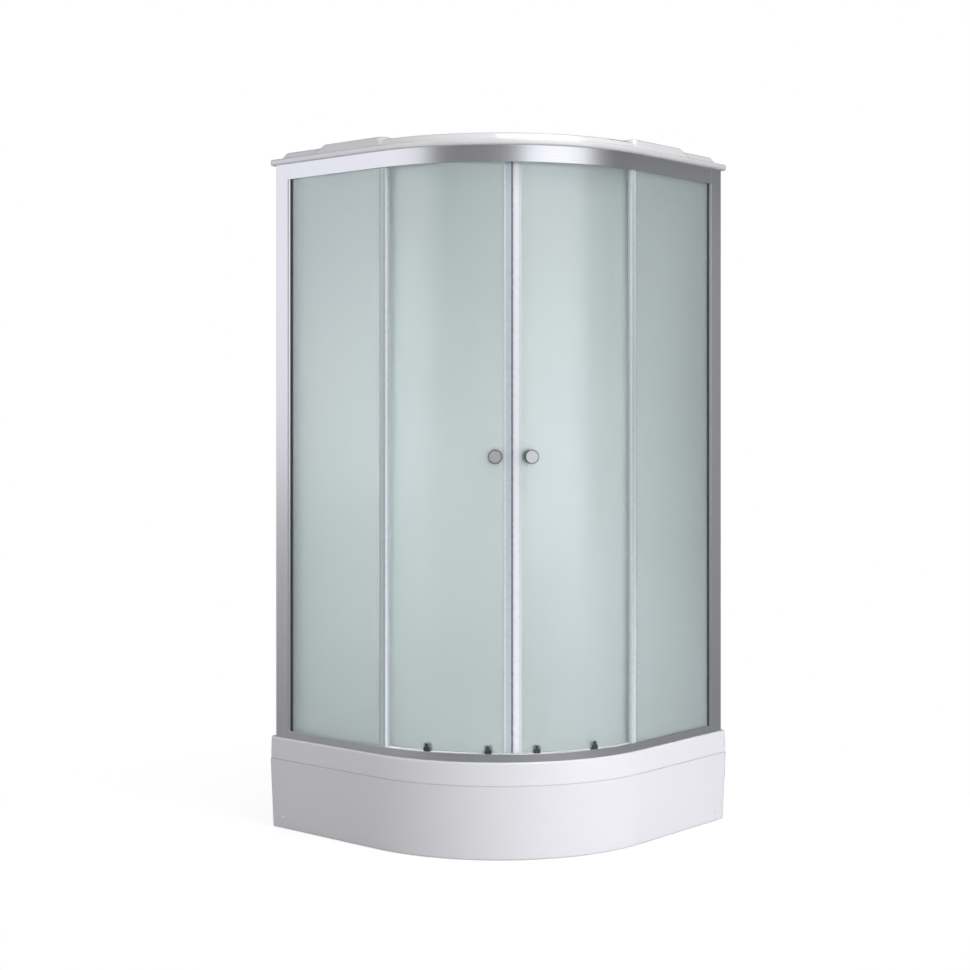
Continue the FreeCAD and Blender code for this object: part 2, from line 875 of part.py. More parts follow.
def magnet_seal():
    """Magnetic strip on a door's leading edge: it grips the glass and ends in a square nose."""
    end = seam_angle - arc_degrees(seam_half_gap, door_glass_inset)
    start = door_end_angle() - arc_degrees(magnet_grip, door_glass_inset)
    strip = band(door_glass_inset - seal_wall, door_inner_inset + seal_wall, start, end,
                 door_bottom, door_top)
    return strip.cut(band(door_glass_inset, door_inner_inset, 0, door_end_angle(), 0, cutter_height))


def trailing_seal():
    """Clear seal on a door's rear edge, with a fin towards the fixed pane."""
    lip = arc_degrees(trailing_lip, door_glass_inset)
    low = rail_top_of_bottom + trailing_end_gap
    high = rail_bottom_of_top - trailing_end_gap
    strip = band(door_glass_inset - seal_wall, door_inner_inset + seal_wall,
                 door_start_angle - lip, door_start_angle + lip * 3, low, high)
    fin = band(door_glass_inset - trailing_fin_reach, door_glass_inset, door_start_angle - lip,
               door_start_angle - lip / 2, low, high)
    pane = band(door_glass_inset, door_inner_inset, door_start_angle, seam_angle, 0, cutter_height)
    return strip.fuse(fin).cut(pane).removeSplitter()


def knob():
    """Round pull drawn with its back at depth 0 and its face away from the glass."""
    return [
        (0.0, 0.0, 0),
        (washer_radius, 0.0, 0),
        (washer_radius, knob_base, 0),
        (knob_neck_radius, knob_neck_depth, knob_neck_fillet),
        (knob_radius, knob_head_depth, knob_back_fillet),
        (knob_radius, knob_depth, knob_face_fillet),
        (0.0, knob_depth, 0),
    ]


def knob_bolt_ends():
    reach = knob_depth * knob_bolt_share
    return door_glass_inset - washer - reach, door_inner_inset + washer + reach


def outer_knob():
    profile = [(radius, -depth, corner) for radius, depth, corner in knob()]
    shape = spun(profile, door_glass_inset - washer, knob_height)
    start, end = knob_bolt_ends()
    return turned(shape.cut(across(knob_bolt_radius, start, end, knob_height)), knob_angle)


def inner_knob():
    shape = spun(knob(), door_inner_inset + washer, knob_height)
    start, end = knob_bolt_ends()
    return turned(shape.cut(across(knob_bolt_radius, start, end, knob_height)), knob_angle)


def knob_bolt():
    start, end = knob_bolt_ends()
    return turned(across(knob_bolt_radius, start, end, knob_height), knob_angle)


def knob_washers():
    sleeve_radius = knob_bolt_radius + bolt_sleeve
    outer = across(washer_radius, door_glass_inset - washer, door_glass_inset, knob_height)
    inner = across(washer_radius, door_inner_inset, door_inner_inset + washer, knob_height)
    sleeve = across(sleeve_radius, door_glass_inset, door_inner_inset, knob_height)
    body = outer.fuse([inner, sleeve])
    shape = turned(body.cut(across(knob_bolt_radius, 0, side, knob_height)), knob_angle)
    pane = band(door_glass_inset, door_inner_inset, 0, seam_angle, door_bottom, door_top)
    return shape.cut(pane.cut(turned(across(sleeve_radius, 0, side, knob_height), knob_angle)))


# ---- rollers ----
def top_hanger():
    """Shoe gripping the glass's top edge, with an arm that carries the wheel's axle."""
    low = rail_bottom_of_top + shoe_above_rail
    shoe_top = ledge_top - ledge_wall - shoe_below_ledge
    half_shoe = hanger_length / 2
    shoe = block(-half_shoe, half_shoe, door_glass_inset - hanger_wall,
                 door_inner_inset + hanger_wall, low, shoe_top)
    arm = block(-arm_width / 2, arm_width / 2, arm_inset, arm_inset + arm_wall, low,
                top_axle_height + arm_above_axle)
    sleeve = across(top_axle_radius + axle_sleeve, top_wheel_inset + wheel_width + running_gap,
                    arm_inset, top_axle_height)
    return shoe.fuse([arm, sleeve])


def top_axle():
    arm_back = arm_inset + arm_wall
    pin = across(top_axle_radius, top_wheel_inset, arm_back, top_axle_height)
    head = across(top_axle_radius + axle_head_extra, arm_back, arm_back + axle_head, top_axle_height)
    return pin.fuse(head)


def wheel(radius, bore, inset, z):
    """Roller with a raised hub and a chamfered tread."""
    hub = bore + hub_wall
    tread = flank_depth + tread_chamfer
    return spun([
        (bore, 0, 0),
        (hub, 0, 0),
        (hub, flank_depth, 0),
        (radius - tread_chamfer, flank_depth, 0),
        (radius, tread, 0),
        (radius, wheel_width - tread, 0),
        (radius - tread_chamfer, wheel_width - flank_depth, 0),
        (hub, wheel_width - flank_depth, 0),
        (hub, wheel_width, 0),
        (bore, wheel_width, 0),
    ], inset, z)


def top_wheel():
    return wheel(top_wheel_radius, top_axle_radius + bore_clearance, top_wheel_inset, top_axle_height)


def bottom_wheel():
    return wheel(bottom_wheel_radius, bottom_axle_radius + bore_clearance, door_glass_inset,
                 bottom_axle_height)


def bottom_guide():
    """Clip under the glass's bottom edge: outer plate with a short post, inner block, wheel fork."""
    w = guide_width / 2
    bridge_low = bottom_axle_height + bottom_wheel_radius + fork_gap
    fork_low = track_floor + track_rib_height + fork_above_rib
    plate_top = door_bottom + guide_plate_rise
    post_top = door_bottom + guide_post_rise
    plate = block(-w, w, guide_front, door_glass_inset, bridge_low, plate_top)
    plate = plate.makeFillet(guide_plate_radius, [edge for edge in level_edges(plate, plate_top)
                                                  if edge.BoundBox.XLength < 1e-6])
    post = block(-guide_post_width / 2, guide_post_width / 2, guide_front, door_glass_inset,
                 plate_top - guide_post_root, post_top)
    post = post.makeFillet(guide_post_radius, [edge for edge in level_edges(post, post_top)
                                               if edge.BoundBox.XLength < 1e-6])
    back = block(-w - guide_back_extra, w + guide_back_extra, door_inner_inset, guide_rear,
                 bridge_low, post_top)
    bridge = block(-w, w, guide_front, guide_rear, bridge_low, door_bottom)
    fork_half = bottom_axle_radius + fork_wall
    front_tine = block(-fork_half, fork_half, guide_front, door_glass_inset - fork_gap, fork_low,
                       bridge_low)
    rear_tine = block(-fork_half, fork_half, door_inner_inset + fork_gap, guide_rear, fork_low,
                      bridge_low)
    body = plate.fuse([post, back, bridge, front_tine, rear_tine])
    return body.cut(across(bottom_axle_radius, guide_front, guide_rear, bottom_axle_height))


def bottom_axle():
    return across(bottom_axle_radius, guide_front, guide_rear, bottom_axle_height)


def door_pane_space():
    """The glass as a cutter, so that what grips it follows its curve."""
    return band(door_glass_inset, door_inner_inset, 0, seam_angle, door_bottom, door_top)


def gripping(shape, angle):
    return turned(shape, angle).cut(door_pane_space())


def hanger_angles():
    return [("rear", rear_hanger_angle), ("front", front_hanger_angle)]


def top_hangers():
    bore = across(top_axle_radius, 0, arm_inset + arm_wall, top_axle_height)
    return group([gripping(top_hanger().cut(bore), angle) for name, angle in hanger_angles()])


def bottom_guides():
    return group([gripping(bottom_guide(), angle) for name, angle in hanger_angles()])


def roller_axles():
    return group([turned(pin, angle) for pin in (top_axle(), bottom_axle())
                  for name, angle in hanger_angles()])


# ---- roof ----
def roof_block(shrink):
    """Raised part over one straight side, sloping down at both ends; shrink makes its inside."""
    low = frame_top + roof_lip - form_overlap - shrink
    high = frame_top + block_height - shrink
    front = crown_inset + shrink - half
    back = front + block_depth - 2 * shrink
    x0 = block_from_wall + shrink - half
    x1 = arc_x + block_past_tangent - shrink

    def rim(x_start, x_end, y_start, y_end, z):
        return rounded_wire([(Vector(x, y, z), block_corner) for x, y in (
            (x_start, y_start), (x_end, y_start), (x_end, y_end), (x_start, y_end))])

    lower = rim(x0, x1, front, back, low)
    upper = rim(x0 + block_outer_slope, x1 - block_inner_slope, front + block_draft,
                back - block_draft, high)
    form = plan_loft(lower, upper)
    return form.makeFillet(block_edge, level_edges(form, high))


def roof_crown(shrink):
    low = frame_top + roof_lip - form_overlap - shrink
    high = frame_top + crown_height - shrink
    inset = crown_inset + shrink
    gap = crown_from_wall + shrink
    form = plan_loft(plan_wire(inset, gap, low, crown_corner),
                     plan_wire(inset + crown_draft, gap + crown_draft, high, crown_corner))
    return form.makeFillet(crown_edge, level_edges(form, high))


def roof_base(shrink):
    low = frame_top + shrink
    high = frame_top + roof_lip - shrink
    form = plan_prism(shrink, shrink, low, high)
    front = [edge for level in (low, high) for edge in level_edges(form, level)
             if edge.CenterOfMass.x - edge.CenterOfMass.y > corner_radius * 0.5
             and abs(edge.CenterOfMass.x - shrink + half) > 1
             and abs(edge.CenterOfMass.y + shrink - half) > 1]
    return form.makeFillet(roof_lip_radius - shrink / 2, front)


def roof_form(shrink):
    right_block = mirror_right(roof_block(shrink))
    return roof_base(shrink).fuse([roof_crown(shrink), roof_block(shrink), right_block])


def roof_shell():
    shell = roof_form(0).cut(roof_form(roof_wall))
    opening = plan_prism(roof_flange, opening_from_wall, frame_top - 1, frame_top + roof_wall + 1,
                         opening_corner)
    return shell.cut(opening).removeSplitter()


def roof_bracket():
    """Angle between the top rail's inner wall and the roof's flange, at the arc's left end."""
    inset = rail_inner_inset + roof_bracket_gap
    reach = roof_bracket_half
    wall = roof_bracket_wall
    upright_leg = block(-reach, reach, inset, inset + wall, ledge_top + wall, frame_top)
    flat_leg = block(-reach, reach, inset, inset + roof_bracket_leg, frame_top - wall, frame_top)
    return upright_leg.fuse(flat_leg)


def roof_bracket_screw():
    under = frame_top - roof_bracket_wall
    centre = Vector(arc_x, rail_inner_inset + roof_screw_from_rail - half, under)
    stem = Part.makeCylinder(screw_radius, roof_wall + roof_bracket_wall, centre)
    head = Part.makeCylinder(screw_head_radius, screw_head, centre - Vector(0, 0, screw_head))
    return stem.fuse(head)


def along_front(shape):
    """Five places under the roof: two on each straight side and one in the middle of the arc."""
    places = []
    for shift in roof_bracket_shifts:
        moved = shape.translated(Vector(shift, 0, 0))
        places += [moved, mirror_right(moved)]
    return places + [turned(shape, seam_angle)]


# ---- the pieces ----
nodes = {
    "tray_shell": tray_shell(),
    "front_apron": front_apron(),
    "apron_screws": group(apron_screw_places(apron_screw())),
    "apron_screw_caps": group(apron_screw_places(apron_screw_cap())),
    "support_frame": support_frame(),
    "foot_stems": foot_stems(),
    "foot_pads": foot_pads(),
    "foot_lock_nuts": foot_lock_nuts(),
    "drain_body": drain_body(),
    "drain_gasket": drain_gasket(),
    "drain_locknut": drain_locknut(),
    "drain_cover": drain_cover(),
    "bottom_rail": bottom_rail(),
    "top_rail": top_rail(),
    "rail_stops": group([rail_stop(), mirror_right(rail_stop())]),
    "corner_post": corner_post(),
    "roof_shell": roof_shell().cut(along_front(roof_bracket_screw())),
    "roof_brackets": group([bracket.cut(screw) for bracket, screw in
                            zip(along_front(roof_bracket()), along_front(roof_bracket_screw()))]),
    "roof_bracket_screws": group(along_front(roof_bracket_screw())),
}

for side_name, placed in (("left", keep_left), ("right", mirror_right)):
    nodes[side_name + "_wall_profile"] = placed(wall_profile())
    nodes[side_name + "_clamp_profile"] = placed(clamp_profile())
    nodes[side_name + "_fixed_glass"] = placed(fixed_glass())
    nodes[side_name + "_glazing_gaskets"] = placed(glazing_gaskets())
    nodes[side_name + "_end_seal"] = placed(end_seal())
    nodes[side_name + "_back_wall"] = placed(back_panel())
    nodes[side_name + "_door_glass"] = placed(door_glass())
    nodes[side_name + "_magnet_seal"] = placed(magnet_seal())
    nodes[side_name + "_trailing_seal"] = placed(trailing_seal())
    nodes[side_name + "_outer_knob"] = placed(outer_knob())
    nodes[side_name + "_inner_knob"] = placed(inner_knob())
    nodes[side_name + "_knob_bolt"] = placed(knob_bolt())
    nodes[side_name + "_knob_washers"] = placed(knob_washers())
    nodes[side_name + "_top_hangers"] = placed(top_hangers())
    nodes[side_name + "_bottom_guides"] = placed(bottom_guides())
    nodes[side_name + "_roller_axles"] = placed(roller_axles())
    for place, angle in hanger_angles():
        nodes[f"{side_name}_{place}_top_wheel"] = placed(turned(top_wheel(), angle))
        nodes[f"{side_name}_{place}_bottom_wheel"] = placed(turned(bottom_wheel(), angle))

os.makedirs("parts", exist_ok=True)
for name, shape in nodes.items():
    shape.exportStep(f"parts/{name}.step")
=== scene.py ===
"""Looks, studio and camera for the quadrant shower enclosure.

Metres, in the row frame: the curved front faces +X and -Y. Bearings are in degrees from -Y,
where the left pane faces, towards +X.
"""
import json
import math

import bpy
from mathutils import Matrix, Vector

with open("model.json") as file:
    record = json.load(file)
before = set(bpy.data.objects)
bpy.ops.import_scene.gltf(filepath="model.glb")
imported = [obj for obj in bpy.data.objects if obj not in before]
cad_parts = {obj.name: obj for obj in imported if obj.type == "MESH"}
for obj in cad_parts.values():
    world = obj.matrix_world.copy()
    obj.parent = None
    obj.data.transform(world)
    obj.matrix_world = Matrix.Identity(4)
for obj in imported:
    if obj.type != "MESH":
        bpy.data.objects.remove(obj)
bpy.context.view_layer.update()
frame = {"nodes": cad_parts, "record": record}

# ---- camera: level, at the photograph's place ----
IMAGE_SIZE = 970
FOCAL_PIXELS = 1758.4
HORIZON_ROW = 418.85
SENSOR_MM = 36.0
CAMERA_PLACE = (3.1783, -3.7332, 1.1279)
CAMERA_BEARING = 40.91

# ---- lamps ----
# Each row: name, bearing, distance, height, height aimed at, width and height of the lamp's
# face, fan in degrees, watts, colour. The panels show in the metal. The fills only light, so
# they leave the metal its dark bands; the cabin fill stands inside and lights the back walls
# that show through the frosted panes.
COOL = (0.93, 0.92, 1.0)
WHITE = (1.0, 1.0, 1.0)
PANELS = [
    ("key_panel", 76, 3.3, 1.75, 1.5, 2.6, 2.5, 180, 29, COOL),
    ("left_panel", -31, 3.4, 2.1, 1.7, 3.7, 2.6, 180, 32, COOL),
    ("left_low_panel", -31, 3.4, 0.4, 0.4, 3.7, 0.8, 180, 3, WHITE),
    ("front_panel", 30, 6.2, 1.6, 1.3, 4.2, 3.0, 180, 6, COOL),
    ("right_panel", 139, 3.4, 1.1, 1.1, 1.6, 2.2, 180, 2.7, COOL),
]
FILLS = [
    ("front_fill", 41, 5.5, 1.8, 1.0, 3.0, 2.4, 180, 66, WHITE),
    ("right_fill", 98, 3.0, 0.35, 0.05, 2.0, 0.5, 50, 4.3, COOL),
    ("cabin_fill", 78, 0.26, 0.93, 0.93, 0.44, 1.25, 180, 6.0, WHITE),
    ("back_fill", 221, 5.0, 1.8, 0.9, 3.0, 2.4, 180, 120, WHITE),
]
TOP_LIGHT_PLACE = (1.2, -0.2, 3.4)
TOP_LIGHT_SIZE = 1.3
TOP_LIGHT_FAN = 180
TOP_LIGHT_POWER = 24
AMBIENT = (0.155, 0.155, 0.155)

# ---- where the finishes change on a piece ----
ARC_CENTRE = (-0.05, 0.05, 0)
SEAM_NORMAL = (0.70711, 0.70711, 0)
# the middle of a noise, over which a finish goes from its one end to its other
NOISE_LOW = 0.3
NOISE_HIGH = 0.7
# stretch of the fine lines on extrusions
ALONG_LINES = 0.02
ACROSS_LINES = 30
# shares of a seal strip's width, away from the seam: the start and end of a lighter line painted
# on as a highlight, and the start of a lighter outer edge painted on as a highlight
STRIP_PAINTED_HIGHLIGHT = (0.25, 0.5)
STRIP_EDGE_PAINTED_HIGHLIGHT = 0.88
# distances from the seam at which a magnet strip's nose, root and lips start
MAGNET_NOSE = 0.0016
MAGNET_ROOT = 0.0125
MAGNET_LIPS = 0.0158
SEAL_LIP = (0.74, 0.81, 0.82)
# how squarely a knob's surface faces outwards where its face starts and the painted dark
# reflection of the rim ends, and where it is all satin
KNOB_FACE = 0.955
KNOB_SATIN = 0.975
KNOB_ROUNDING = 0.007

# ---- floor ----
FLOOR_RADIUS = 9.0
FLOOR_SIDES = 96
FLOOR_SHADOW_REACH = 1.5
FLOOR_GREY = (0.45, 0.45, 0.45)
FLOOR_GLOW = 0.75


# ---- node aids ----
def set_sockets(node, values):
    """Set a node's sockets; an underscore in a key stands for a space in the socket's name."""
    for socket, value in values.items():
        node.inputs[socket.replace("_", " ")].default_value = value


def add_node(tree, kind, **values):
    """A new node with the named sockets set."""
    node = tree.nodes.new(kind)
    set_sockets(node, values)
    return node


def empty_tree(holder):
    """The node tree of a world or material, with nothing in it."""
    holder.use_nodes = True
    holder.node_tree.nodes.clear()
    return holder.node_tree


def mixed(tree, factor, first, second):
    """The first shader where the factor is 0, the second where it is 1."""
    mix = add_node(tree, "ShaderNodeMixShader")
    for start, end in zip((factor, first, second), mix.inputs):
        tree.links.new(start, end)
    return mix.outputs["Shader"]


def by_ray(tree, camera, others):
    """One shader for what the camera sees, another for every other ray."""
    paths = add_node(tree, "ShaderNodeLightPath")
    return mixed(tree, paths.outputs["Is Camera Ray"], others, camera)


class Finish:
    """A node material around one Principled shader, in the part's own coordinates."""

    def __init__(self, name, roughness, metallic=0.0, **sockets):
        self.material = bpy.data.materials.new(name)
        self.material.use_nodes = True
        self.tree = self.material.node_tree
        self.shader = self.tree.nodes["Principled BSDF"]
        set_sockets(self.shader, {"Metallic": metallic, "Roughness": roughness, **sockets})
        self.place = self.add("ShaderNodeTexCoord").outputs["Object"]

    def add(self, kind, **values):
        """A new node in this material."""
        return add_node(self.tree, kind, **values)

    def link(self, start, end):
        """Join an output to an input."""
        self.tree.links.new(start, end)

    def noise(self, scale, stretch=(1, 1, 1), detail=3.0):
        """Noise of the given scale per metre, drawn out where stretch is small."""
        mapping = self.add("ShaderNodeMapping", Scale=stretch)
        texture = self.add("ShaderNodeTexNoise", Scale=scale, Detail=detail)
        self.link(self.place, mapping.inputs["Vector"])
        self.link(mapping.outputs["Vector"], texture.inputs["Vector"])
        return texture.outputs["Fac"]

    def mapped(self, value, start, end, low, high):
        """A number that goes from low to high while the value goes from start to end."""
        node = self.add("ShaderNodeMapRange", From_Min=start, From_Max=end, To_Min=low,
                        To_Max=high)
        self.link(value, node.inputs["Value"])
        return node.outputs["Result"]

    def base_colour(self, value, stops, interpolation):
        """Base colour along a value, through stops of (place, colour)."""
        ramp = self.add("ShaderNodeValToRGB")
        ramp.color_ramp.interpolation = interpolation
        points = ramp.color_ramp.elements
        while len(points) < len(stops):
            points.new(1.0)
        for point, (place, colour) in zip(points, stops):
            point.position = place
            point.color = (*colour, 1)
        self.link(value, ramp.inputs["Fac"])
        self.link(ramp.outputs["Color"], self.shader.inputs["Base Color"])

    def colour(self, value, dark, light):
        """Base colour that goes smoothly from dark to light with a noise."""
        self.base_colour(value, [(NOISE_LOW, dark), (NOISE_HIGH, light)], "LINEAR")

    def bands(self, value, stops):
        """Base colour in bands: each (start, colour) holds until the next start."""
        self.base_colour(value, stops, "CONSTANT")

    def rough(self, value, low, high, start=NOISE_LOW, end=NOISE_HIGH):
        """Roughness that goes from low to high while the value goes from start to end."""
        self.link(self.mapped(value, start, end, low, high), self.shader.inputs["Roughness"])

    def rounded(self, radius):
        """Surface direction with the edges rounded off."""
        return self.add("ShaderNodeBevel", Radius=radius).outputs["Normal"]

    def bump(self, value, depth, strength=1.0, edge=0.0):
        """Relief from a value; edge is the radius by which sharp edges look rounded."""
        node = self.add("ShaderNodeBump", Distance=depth, Strength=strength)
        self.link(value, node.inputs["Height"])
        self.link(node.outputs["Normal"], self.shader.inputs["Normal"])
        if edge:
            self.link(self.rounded(edge), node.inputs["Normal"])

    def vector_math(self, operation, first, second=None, output="Vector"):
        """A vector operation; the second operand is a fixed vector, an output or none."""
        node = self.add("ShaderNodeVectorMath")
        node.operation = operation
        self.link(first, node.inputs[0])
        if isinstance(second, tuple):
            node.inputs[1].default_value = second
        elif second is not None:
            self.link(second, node.inputs[1])
        return node.outputs[output]

    def size_of(self, value):
        """A number without its sign."""
        node = self.add("ShaderNodeMath")
        node.operation = "ABSOLUTE"
        self.link(value, node.inputs[0])
        return node.outputs[0]

    def from_seam(self):
        """Distance from the plane where the doors meet."""
        return self.size_of(self.vector_math("DOT_PRODUCT", self.place, SEAM_NORMAL, "Value"))


# ---- materials ----
def acrylic():
    """Glossy white sheet, very slightly wavy from forming."""
    finish = Finish("white_acrylic", 0.22, IOR=1.49, Coat_Weight=1.0, Coat_Roughness=0.06)
    finish.colour(finish.noise(2.2), (0.83, 0.83, 0.84), (0.86, 0.86, 0.87))
    finish.rough(finish.noise(14), 0.18, 0.27)
    finish.bump(finish.noise(9, detail=1.0), 0.0006, edge=0.006)
    return finish.material


def moulded_white():
    """Small glossy white mouldings."""
    finish = Finish("moulded_white", 0.2, IOR=1.49, Coat_Weight=1.0, Coat_Roughness=0.05)
    finish.colour(finish.noise(30), (0.88, 0.88, 0.88), (0.93, 0.93, 0.93))
    finish.bump(finish.noise(900), 0.00005, edge=0.0006)
    return finish.material


def satin_aluminium(name, stretch):
    """Anodised extrusion with fine lines along its length."""
    finish = Finish(name, 0.3, metallic=1.0)
    lines = finish.noise(60, stretch)
    finish.colour(lines, (0.70, 0.71, 0.725), (0.80, 0.81, 0.825))
    finish.rough(lines, 0.28, 0.38)
    finish.bump(lines, 0.00005, 0.4)
    return finish.material


def frosted_glass():
    """Pane etched on one side: it scatters what it lets through, under a smooth face."""
    finish = Finish("frosted_glass", 0.5, IOR=1.5, Transmission_Weight=0.75, Coat_Weight=1.0,
                    Coat_Roughness=0.2, Coat_IOR=1.65)
    finish.colour(finish.noise(1.6), (0.825, 0.925, 0.905), (0.85, 0.945, 0.925))
    finish.rough(finish.noise(1400), 0.42, 0.58)
    finish.bump(finish.noise(2200, detail=2.0), 0.00004, 0.4)
    return finish.material


def clear_seal(node):
    """Soft strip: glass-toned, with a highlight line and an outer edge highlight painted along
    it as lighter colour.
    """
    reach = [abs(Vector(SEAM_NORMAL).dot(corner.co)) for corner in node.data.vertices]
    finish = Finish(f"{node.name}_strip", 0.3, IOR=1.45)
    across = finish.mapped(finish.from_seam(), min(reach), max(reach), 0, 1)
    highlight_start, highlight_end = STRIP_PAINTED_HIGHLIGHT
    # the lighter bands are painted highlights; the darker bands between them are the strip's own
    # glass tone
    finish.bands(across, [(0.0, (0.60, 0.67, 0.70)), (highlight_start, (0.92, 0.95, 0.98)),
                          (highlight_end, (0.55, 0.63, 0.64)), (STRIP_EDGE_PAINTED_HIGHLIGHT, (0.84, 0.90, 0.92))])
    finish.rough(finish.noise(60), 0.24, 0.36)
    return finish.material


def magnet_seal(name, edge, nose, root):
    """Strip where the doors meet: edge, filled nose and root, then lips over the glass; the
    edge, nose and root colours it is given hold painted light and shade.
    """
    finish = Finish(name, 0.3, IOR=1.45)
    finish.bands(finish.from_seam(), [(0.0, edge), (MAGNET_NOSE, nose), (MAGNET_ROOT, root),
                                      (MAGNET_LIPS, SEAL_LIP)])
    finish.rough(finish.noise(60), 0.22, 0.38)
    return finish.material


def rubber():
    """Dull dark grey strip with a fine grain."""
    finish = Finish("grey_rubber", 0.75)
    finish.colour(finish.noise(120), (0.035, 0.04, 0.043), (0.06, 0.067, 0.07))
    finish.bump(finish.noise(1600), 0.00008)
    return finish.material


def knob_metal():
    """Chrome: satin on the flat face, polished round the rim and neck, where a near-black colour
    is painted on as a dark reflection.
    """
    finish = Finish("knob_chrome_painted_rim_reflection", 0.3, metallic=1.0)
    turn = finish.add("ShaderNodeVectorTransform")
    turn.vector_type = "NORMAL"
    turn.convert_from = "WORLD"
    turn.convert_to = "OBJECT"
    finish.link(finish.rounded(KNOB_ROUNDING), turn.inputs["Vector"])
    from_centre = finish.vector_math("SUBTRACT", finish.place, ARC_CENTRE)
    level = finish.vector_math("MULTIPLY", from_centre, (1, 1, 0))
    outwards = finish.vector_math("NORMALIZE", level)
    facing = finish.vector_math("DOT_PRODUCT", turn.outputs["Vector"], outwards, "Value")
    flatness = finish.size_of(facing)
    # near-black base colour off the flat face: a dark reflection painted on the rim and neck
    finish.bands(flatness, [(0.0, (0.05, 0.055, 0.06)), (KNOB_FACE, (0.86, 0.87, 0.88))])
    finish.rough(flatness, 0.15, 0.5, KNOB_FACE, KNOB_SATIN)
    finish.bump(finish.noise(900), 0.00004, 0.6)
    return finish.material


def satin_chrome():
    """Chrome of the small fittings, finely brushed."""
    finish = Finish("satin_chrome", 0.22, metallic=1.0)
    grain = finish.noise(900)
    finish.colour(grain, (0.62, 0.63, 0.64), (0.72, 0.73, 0.74))
    finish.rough(grain, 0.18, 0.30)
    finish.bump(grain, 0.00003, 0.5)
    return finish.material


def dark_plastic():
    """Dark moulded plastic with a fine grain."""
    finish = Finish("dark_plastic", 0.5)
    finish.colour(finish.noise(200), (0.045, 0.055, 0.055), (0.075, 0.09, 0.09))
    finish.bump(finish.noise(1500), 0.00006)
    return finish.material


def zinc_steel():
    """Zinc plate with its cloudy spangle."""
    finish = Finish("zinc_steel", 0.4, metallic=1.0)
    spangle = finish.noise(85)
    finish.colour(spangle, (0.50, 0.51, 0.53), (0.66, 0.67, 0.69))
    finish.rough(spangle, 0.32, 0.5)
    return finish.material


def nylon():
    """Off-white plastic of the rollers and guides."""
    finish = Finish("nylon", 0.45, IOR=1.53)
    finish.colour(finish.noise(260), (0.70, 0.70, 0.68), (0.80, 0.80, 0.78))
    finish.bump(finish.noise(1300), 0.00005)
    return finish.material


def slot_finishes():
    """The finish of each material slot that has one for all its nodes."""
    return {
        "white_acrylic": acrylic(),
        "white_plastic": moulded_white(),
        "frosted_glass": frosted_glass(),
        "grey_rubber": rubber(),
        "chrome": satin_chrome(),
        "dark_plastic": dark_plastic(),
        "zinc_steel": zinc_steel(),
        "nylon": nylon(),
        "satin_aluminium": satin_aluminium("satin_aluminium_upright",
                                           (ACROSS_LINES, ACROSS_LINES, ALONG_LINES)),
    }


def own_finishes():
    """The finishes of single nodes: rails, whose lines run level, magnet strips as a
    painted-shade left and a painted-light right copy, knobs with a painted dark reflection round
    the rim, and seal strips with painted highlights.
    """
    level_lines = satin_aluminium("satin_aluminium_level",
                                  (ALONG_LINES, ALONG_LINES, ACROSS_LINES))
    own = {
        "bottom_rail": level_lines,
        "top_rail": level_lines,
        # the two magnet strips are one clear material: the left gets darker colours as painted
        # shade, with a near-black edge at the seam, and the right gets lighter ones as painted
        # light, with a painted highlight on its nose
        "left_magnet_seal": magnet_seal("left_magnet_strip_painted_shade", (0.16, 0.17, 0.20),
                                        (0.56, 0.63, 0.67), (0.62, 0.70, 0.72)),
        "right_magnet_seal": magnet_seal("right_magnet_strip_painted_light", (0.70, 0.72, 0.80),
                                         (0.94, 0.95, 0.98), (0.76, 0.80, 0.84)),
    }
    knob = knob_metal()
    for name, node in frame["nodes"].items():
        if name.endswith("_knob"):
            own[name] = knob
        elif name.endswith("_seal") and name not in own:
            own[name] = clear_seal(node)
    return own


def dress_nodes():
    """Give every CAD node its own finish or else the one of its slot."""
    finishes = slot_finishes()
    own = own_finishes()
    for row in frame["record"]["subparts"]:
        material = own.get(row["node"]) or finishes[row["material_slot"]]
        materials = frame["nodes"][row["node"]].data.materials
        materials.clear()
        materials.append(material)


# ---- studio ----
def bearing_vector(bearing):
    """Level unit vector at a bearing."""
    angle = math.radians(bearing)
    return Vector((math.sin(angle), -math.cos(angle), 0))


def soft_light(name, place, aim, width, height, fan, power, colour):
    """An area lamp at a place, turned to a point, that the camera doesn't see."""
    light = bpy.data.lights.new(name, "AREA")
    light.shape = "RECTANGLE"
    light.size = width
    light.size_y = height
    light.spread = math.radians(fan)
    light.energy = power
    light.color = colour
    lamp = bpy.data.objects.new(name, light)
    lamp.location = place
    lamp.rotation_euler = (Vector(aim) - Vector(place)).to_track_quat("-Z", "Y").to_euler()
    lamp.visible_camera = False
    bpy.context.scene.collection.objects.link(lamp)
    return lamp


def standing_light(name, bearing, away, height, aim, width, face_height, fan, power, colour):
    """A lamp at a bearing and distance, turned to a height on the upright through the origin."""
    place = bearing_vector(bearing) * away
    place.z = height
    return soft_light(name, place, (0, 0, aim), width, face_height, fan, power, colour)


def white_world():
    """White to the camera, and a plain grey to all rays that light, reflect or pass through."""
    world = bpy.data.worlds.new("studio")
    tree = empty_tree(world)
    bpy.context.scene.world = world
    seen = add_node(tree, "ShaderNodeBackground", Color=(*WHITE, 1))
    lights = add_node(tree, "ShaderNodeBackground", Color=(*AMBIENT, 1))
    surface = by_ray(tree, seen.outputs["Background"], lights.outputs["Background"])
    tree.links.new(surface, add_node(tree, "ShaderNodeOutputWorld").inputs["Surface"])


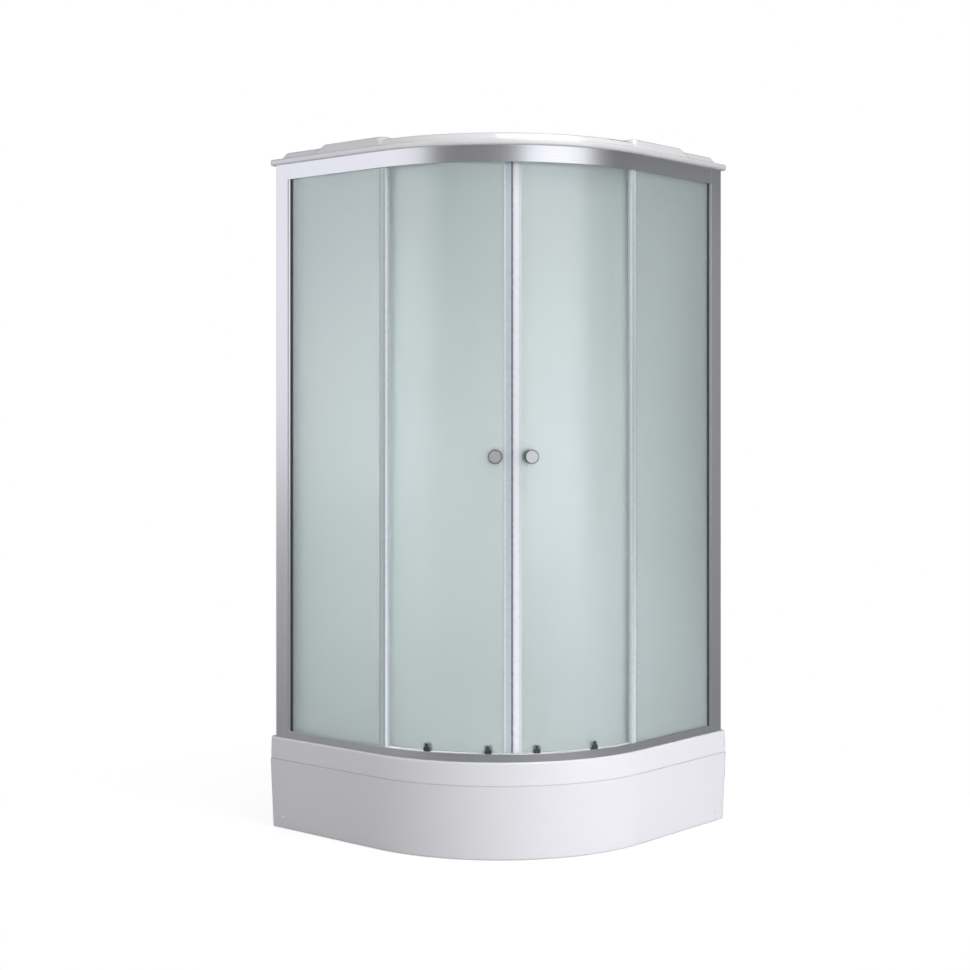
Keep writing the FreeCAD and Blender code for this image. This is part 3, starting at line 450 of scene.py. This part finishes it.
def floor_material():
    """Grey floor that takes the part's shadow and shows white in the picture further out."""
    material = bpy.data.materials.new("floor")
    tree = empty_tree(material)
    length = add_node(tree, "ShaderNodeVectorMath")
    length.operation = "LENGTH"
    tree.links.new(add_node(tree, "ShaderNodeTexCoord").outputs["Object"], length.inputs[0])
    fade = add_node(tree, "ShaderNodeMapRange", From_Min=FLOOR_SHADOW_REACH / 2,
                    From_Max=FLOOR_SHADOW_REACH)
    tree.links.new(length.outputs["Value"], fade.inputs["Value"])
    shaded = add_node(tree, "ShaderNodeBsdfDiffuse", Color=(*FLOOR_GREY, 1))
    glow = add_node(tree, "ShaderNodeEmission", Strength=FLOOR_GLOW)
    near = add_node(tree, "ShaderNodeAddShader")
    tree.links.new(shaded.outputs["BSDF"], near.inputs[0])
    tree.links.new(glow.outputs["Emission"], near.inputs[1])
    far = add_node(tree, "ShaderNodeEmission")
    picture = mixed(tree, fade.outputs["Result"], near.outputs["Shader"],
                    far.outputs["Emission"])
    surface = by_ray(tree, picture, shaded.outputs["BSDF"])
    tree.links.new(surface, add_node(tree, "ShaderNodeOutputMaterial").inputs["Surface"])
    return material


def pale_floor():
    """The round floor that the part stands on."""
    bpy.ops.mesh.primitive_circle_add(vertices=FLOOR_SIDES, radius=FLOOR_RADIUS,
                                      fill_type="NGON")
    floor = bpy.context.object
    floor.name = "floor"
    floor.data.materials.append(floor_material())


def studio():
    """World, floor and lamps; the fills are kept out of reflections and out of the glass."""
    white_world()
    pale_floor()
    for panel in PANELS:
        standing_light(*panel)
    for fill in FILLS:
        lamp = standing_light(*fill)
        lamp.visible_glossy = False
        lamp.visible_transmission = False
    soft_light("top_light", TOP_LIGHT_PLACE, (0, 0, 0), TOP_LIGHT_SIZE, TOP_LIGHT_SIZE,
               TOP_LIGHT_FAN, TOP_LIGHT_POWER, WHITE)


def photo_camera():
    """A level camera, shifted up or down to bring the horizon to its row of the photograph."""
    lens = bpy.data.cameras.new("camera")
    lens.sensor_width = SENSOR_MM
    lens.lens = FOCAL_PIXELS * SENSOR_MM / IMAGE_SIZE
    lens.shift_y = (HORIZON_ROW - IMAGE_SIZE / 2) / IMAGE_SIZE
    camera = bpy.data.objects.new("camera", lens)
    camera.location = CAMERA_PLACE
    camera.rotation_euler = (math.pi / 2, 0, math.radians(CAMERA_BEARING))
    bpy.context.scene.collection.objects.link(camera)
    bpy.context.scene.camera = camera


dress_nodes()
studio()
photo_camera()
bpy.context.scene.view_settings.view_transform = "Standard"
